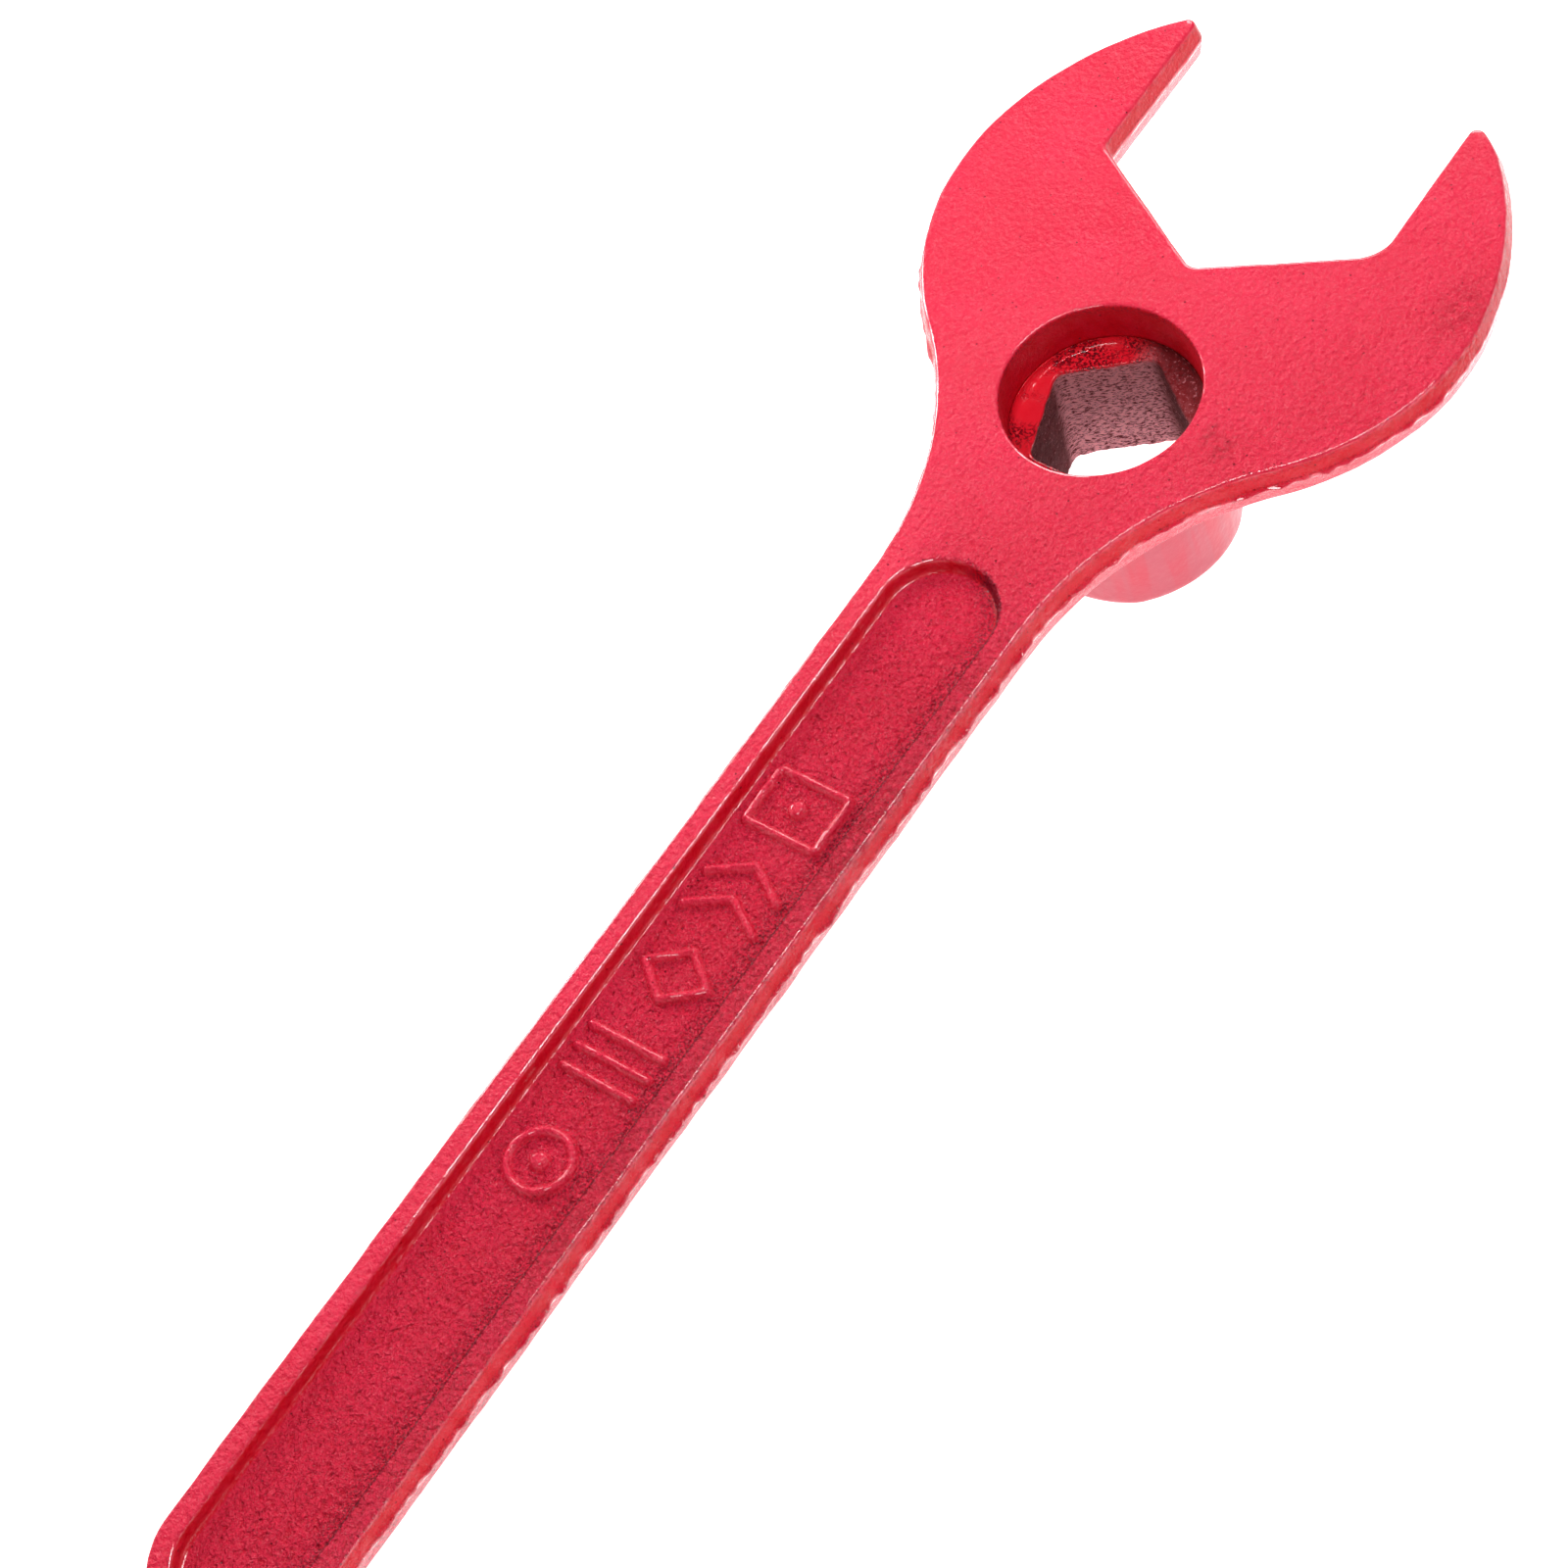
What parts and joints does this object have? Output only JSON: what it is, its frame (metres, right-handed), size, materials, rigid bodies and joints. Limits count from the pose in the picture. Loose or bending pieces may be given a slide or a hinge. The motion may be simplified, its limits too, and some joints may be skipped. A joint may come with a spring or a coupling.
{
  "type": "fire hydrant wrench",
  "caption": "Cast hydrant wrench: a flat handle, an open hexagon jaw, and a pentagon socket in a round sleeve behind the head.",
  "frame": {"origin": "centre of the round eye, on the plate's front face", "axes": "+X from the eye towards the jaw, +Y across the head, +Z out of the front face; the sleeve points along -Z"},
  "size_m": [0.4021, 0.1224, 0.0445],
  "materials": {
    "body_paint": "gloss red enamel over a sand-cast surface, with fine orange peel and grime",
    "sleeve_paint": "red enamel outside; bare dark cast surface with overspray in the socket",
    "bead_paint": "gloss red enamel",
    "mark_paint": "gloss red enamel, pooled round the raised strokes"
  },
  "bodies": {
    "root": {"wrench_body": "body_paint", "socket_sleeve": "sleeve_paint", "socket_weld": "bead_paint", "raised_marks": "mark_paint"}
  },
  "joints": []
}
